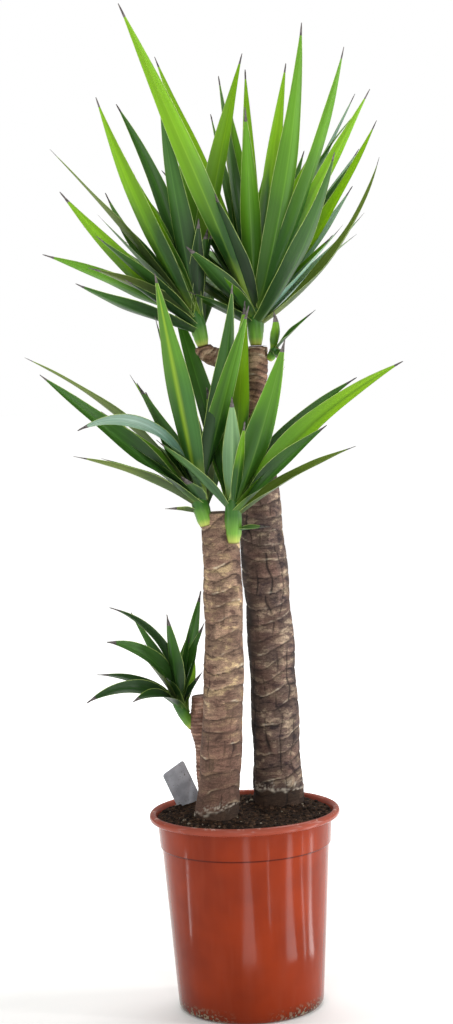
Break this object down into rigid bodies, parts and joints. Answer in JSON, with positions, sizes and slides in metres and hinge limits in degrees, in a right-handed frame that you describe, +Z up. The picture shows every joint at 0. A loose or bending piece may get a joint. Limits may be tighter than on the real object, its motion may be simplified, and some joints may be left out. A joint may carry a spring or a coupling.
{
  "type": "potted yucca",
  "caption": "Potted cane yucca: bare ringed canes of different heights in a nursery pot of compost, each with shoots of stiff sword-shaped leaves at its top or side, and a blank plant tag.",
  "frame": {"origin": "Centre of the pot's flat underside, on the floor.", "axes": "+Z is up. +X is to the right and +Y is away from the side with the short cane's shoot on the left and the middle cane in front."},
  "size_m": [0.5135, 0.4787, 1.3806],
  "materials": {
    "pot": "glossy terracotta-coloured moulded plastic",
    "soil": "rough dark compost",
    "bark": "rough grey-brown bark with leaf scars",
    "leaf": "smooth semi-gloss leaf",
    "tag": "plain grey plastic"
  },
  "bodies": {
    "root": {"pot": "pot", "soil": "soil", "cane_tall": "bark", "cane_mid": "bark", "cane_short": "bark", "head_tall": "bark", "arm_tall": "bark", "shoot_tall_top": "leaf", "shoot_tall_left": "leaf", "shoot_tall_right": "leaf", "shoot_mid_left": "leaf", "shoot_mid_right": "leaf", "shoot_short": "leaf", "tag": "tag"}
  },
  "joints": []
}
